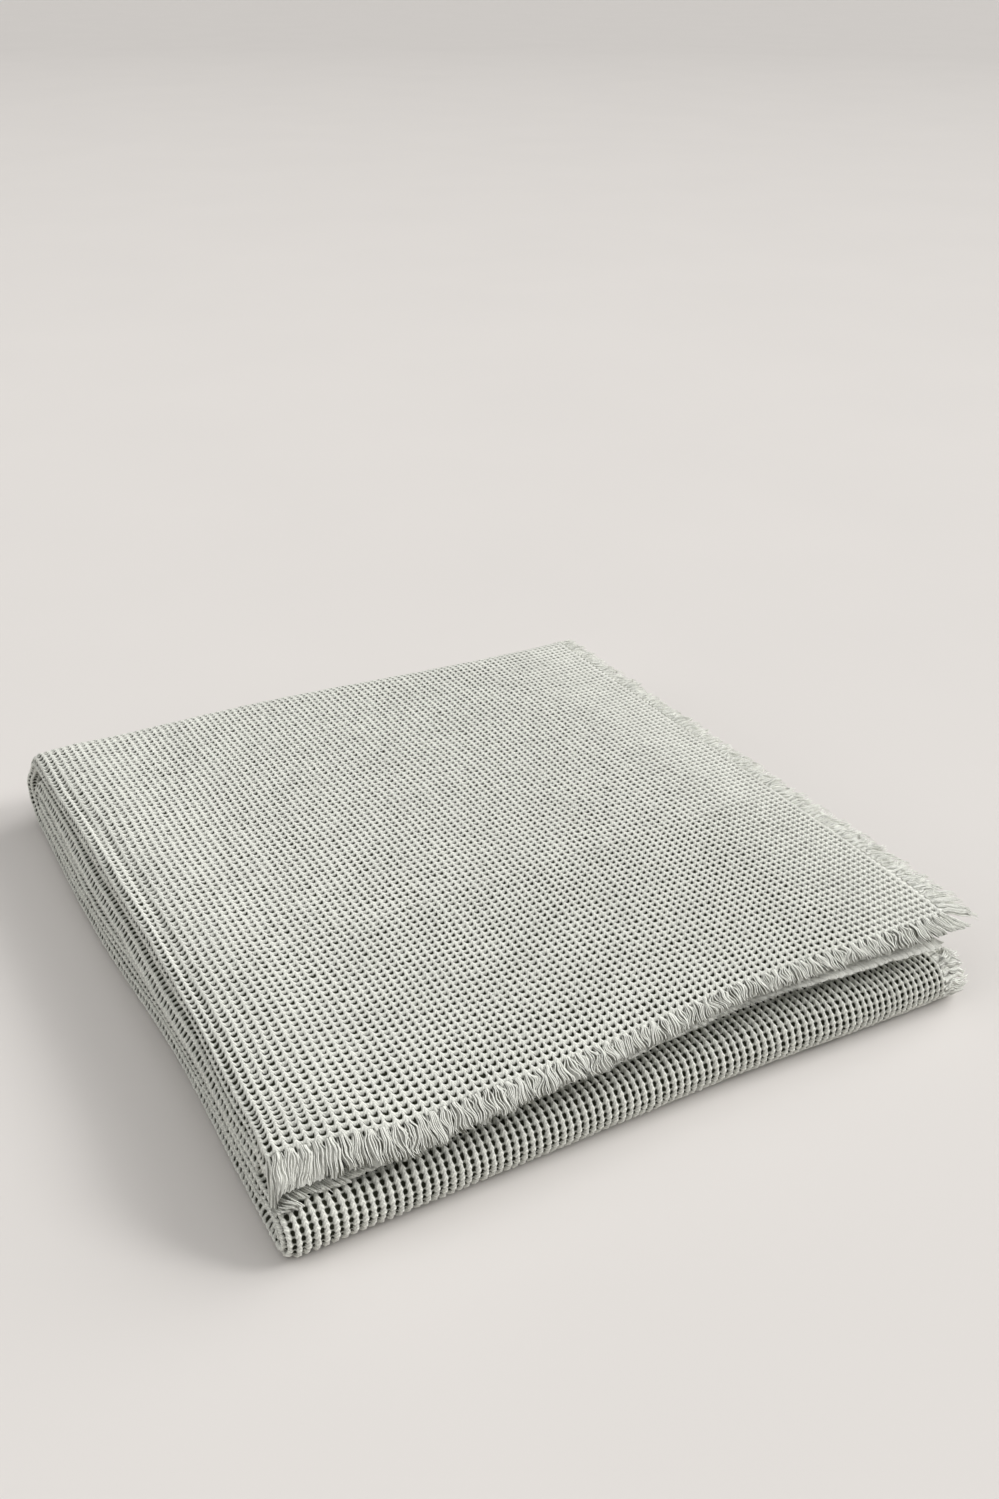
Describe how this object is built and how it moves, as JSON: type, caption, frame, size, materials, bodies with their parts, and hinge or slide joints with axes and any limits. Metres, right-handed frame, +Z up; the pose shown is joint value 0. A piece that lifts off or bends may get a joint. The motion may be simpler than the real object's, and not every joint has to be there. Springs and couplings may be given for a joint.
{
  "type": "folded waffle weave cotton blanket",
  "caption": "Soft waffle weave blanket folded in thirds and then lengthwise into a flat, square-cornered stack, with short cut fringe along its raw edges.",
  "frame": {"origin": "on the flat underside, under the middle of the stack without its fringe", "axes": "+Z up out of the stack, +X along the front fold towards the raw, fringed side, +Y from the front fold to the back fold"},
  "size_m": [0.519, 0.5698, 0.0711],
  "materials": {
    "waffle_cotton": "matt waffle weave, pale warm grey",
    "fringe_cotton": "matt cut cotton ends, pale warm grey"
  },
  "bodies": {
    "root": {"blanket_cloth": "waffle_cotton", "front_fringe_upper": "fringe_cotton", "front_fringe_lower": "fringe_cotton", "side_fringe_top_leaf": "fringe_cotton", "side_fringe_back_fold": "fringe_cotton", "side_fringe_bottom_leaf": "fringe_cotton", "side_fringe_front_fold": "fringe_cotton", "side_fringe_third_leaf": "fringe_cotton", "side_fringe_second_leaf": "fringe_cotton"}
  },
  "joints": []
}
